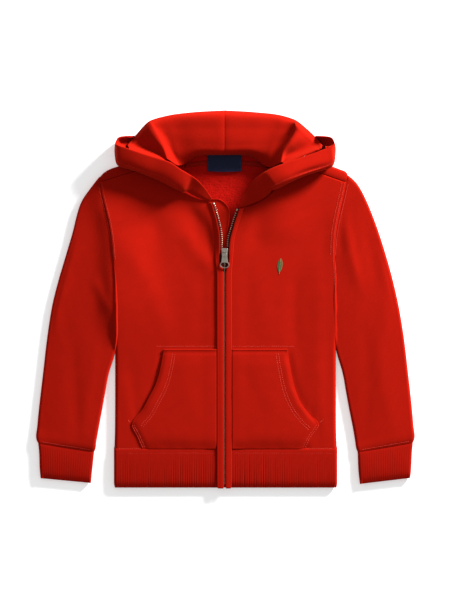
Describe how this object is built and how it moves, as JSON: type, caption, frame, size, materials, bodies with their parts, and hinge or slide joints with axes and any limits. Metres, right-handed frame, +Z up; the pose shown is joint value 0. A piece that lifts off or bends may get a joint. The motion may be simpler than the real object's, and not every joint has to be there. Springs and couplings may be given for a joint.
{
  "type": "kids hoodie",
  "caption": "Child's hooded sweatshirt laid flat on its back, zip closed to mid chest, with ribbed cuffs and waistband, front pockets, a spread hood and a metal zip pull that lifts.",
  "frame": {"origin": "centre of the garment's outline, on the surface that it lies on", "axes": "+Z up from that surface, +Y from the hem to the hood, +X towards the wearer's left sleeve"},
  "size_m": [0.5376, 0.5366, 0.0315],
  "materials": {
    "fleece": "red brushed-back fleece, matt",
    "rib": "red rib knit, matt",
    "tape": "red woven tape",
    "label": "navy woven label, bare",
    "zip_metal": "aged pewter"
  },
  "bodies": {
    "garment": {"back_panel": "fleece", "front_right": "fleece", "front_left": "fleece", "sleeve_right": "fleece", "sleeve_left": "fleece", "cuff_right": "rib", "cuff_left": "rib", "waistband": "rib", "pocket_right": "fleece", "pocket_left": "fleece", "zip_flap_right": "fleece", "zip_flap_left": "fleece", "zip_tape_right": "tape", "zip_tape_left": "tape", "zip_guard": "fleece", "zip_slider": "zip_metal", "hood_outer_right": "fleece", "hood_outer_left": "fleece", "hood_lining_right": "fleece", "hood_lining_left": "fleece", "hood_folds": "fleece", "neck_tape": "tape", "neck_label": "label"},
    "zip_pull": {"zip_pull": "zip_metal"}
  },
  "joints": [
    {"name": "pull_lift", "type": "hinge", "parent": "garment", "child": "zip_pull", "pos_m": [-0.001, 0.0675, 0.0117], "axis": [-1, 0, 0], "range_deg": [0, 170]}
  ]
}
